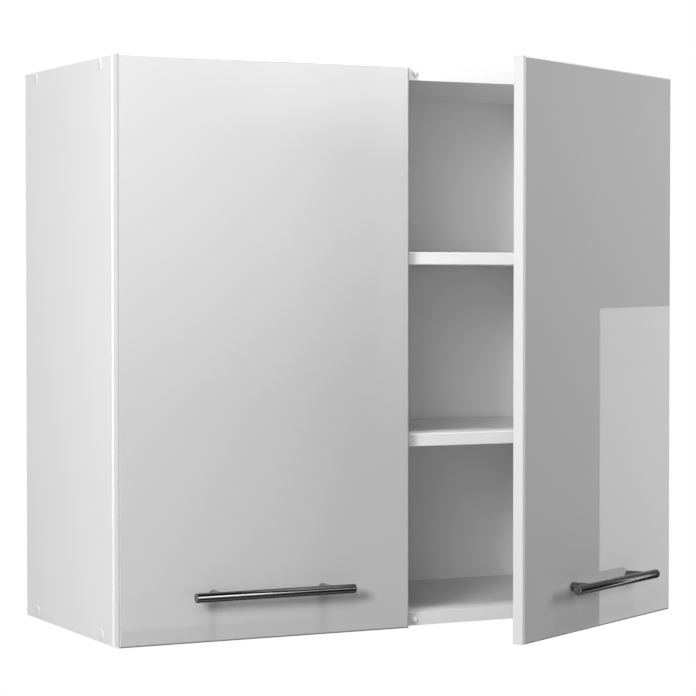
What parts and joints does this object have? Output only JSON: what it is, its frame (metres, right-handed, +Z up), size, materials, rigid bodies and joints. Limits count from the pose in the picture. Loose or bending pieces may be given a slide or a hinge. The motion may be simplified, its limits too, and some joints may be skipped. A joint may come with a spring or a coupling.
{
  "type": "wall cabinet",
  "caption": "Wall-hung kitchen cabinet: white board carcass with shelves, overlay gloss doors on concealed cup hinges, bar handles and rear hangers.",
  "frame": {"origin": "middle of the carcass's lower rear edge, in the wall plane", "axes": "+X to the right as seen from the front, +Y into the wall, +Z up; the doors face -Y"},
  "size_m": [0.8026, 0.5302, 0.72],
  "materials": {
    "white_board": "white melamine-faced chipboard, satin",
    "white_hardboard": "white lacquered hardboard, satin",
    "gloss_door": "light grey high-gloss face with white rounded edges",
    "handle_steel": "dark satin steel",
    "nickel_steel": "bright nickel plate",
    "zinc_steel": "zinc plate",
    "white_cap_plastic": "white satin plastic",
    "hanger_plastic": "white moulded plastic",
    "clear_bumper": "translucent soft plastic",
    "beech_dowel": "bare beech"
  },
  "bodies": {
    "cabinet": {"side_panel_left": "white_board", "side_panel_right": "white_board", "top_panel": "white_board", "bottom_panel": "white_board", "back_panel": "white_hardboard", "shelf_lower": "white_board", "shelf_upper": "white_board", "shelf_supports_lower": "zinc_steel", "shelf_supports_upper": "zinc_steel", "carcass_dowels": "beech_dowel", "carcass_screws_left": "zinc_steel", "carcass_screws_right": "zinc_steel", "screw_caps_left": "white_cap_plastic", "screw_caps_right": "white_cap_plastic", "door_bumpers": "clear_bumper", "hinge_plates_left": "nickel_steel", "hinge_plates_right": "nickel_steel", "hinge_arms_left": "nickel_steel", "hinge_arms_right": "nickel_steel", "plate_screws_left": "zinc_steel", "plate_screws_right": "zinc_steel", "arm_screws_left": "zinc_steel", "arm_screws_right": "zinc_steel", "hanger_housing_left": "hanger_plastic", "hanger_housing_right": "hanger_plastic", "hanger_hook_left": "zinc_steel", "hanger_hook_right": "zinc_steel", "hanger_adjusters_left": "zinc_steel", "hanger_adjusters_right": "zinc_steel"},
    "left_door": {"door_left": "gloss_door", "hinge_cups_left": "nickel_steel", "hinge_pins_left": "nickel_steel", "cup_screws_left": "zinc_steel", "handle_bar_left": "handle_steel", "handle_posts_left": "handle_steel", "handle_screws_left": "zinc_steel"},
    "right_door": {"door_right": "gloss_door", "hinge_cups_right": "nickel_steel", "hinge_pins_right": "nickel_steel", "cup_screws_right": "zinc_steel", "handle_bar_right": "handle_steel", "handle_posts_right": "handle_steel", "handle_screws_right": "zinc_steel"}
  },
  "joints": [
    {"name": "left_door_swing", "type": "hinge", "parent": "cabinet", "child": "left_door", "pos_m": [-0.3919, -0.3325, 0.36], "axis": [0, 0, -1], "range_deg": [0, 95]},
    {"name": "right_door_swing", "type": "hinge", "parent": "cabinet", "child": "right_door", "pos_m": [0.3919, -0.3325, 0.36], "axis": [0, 0, 1], "range_deg": [-29.7, 65.3]}
  ]
}
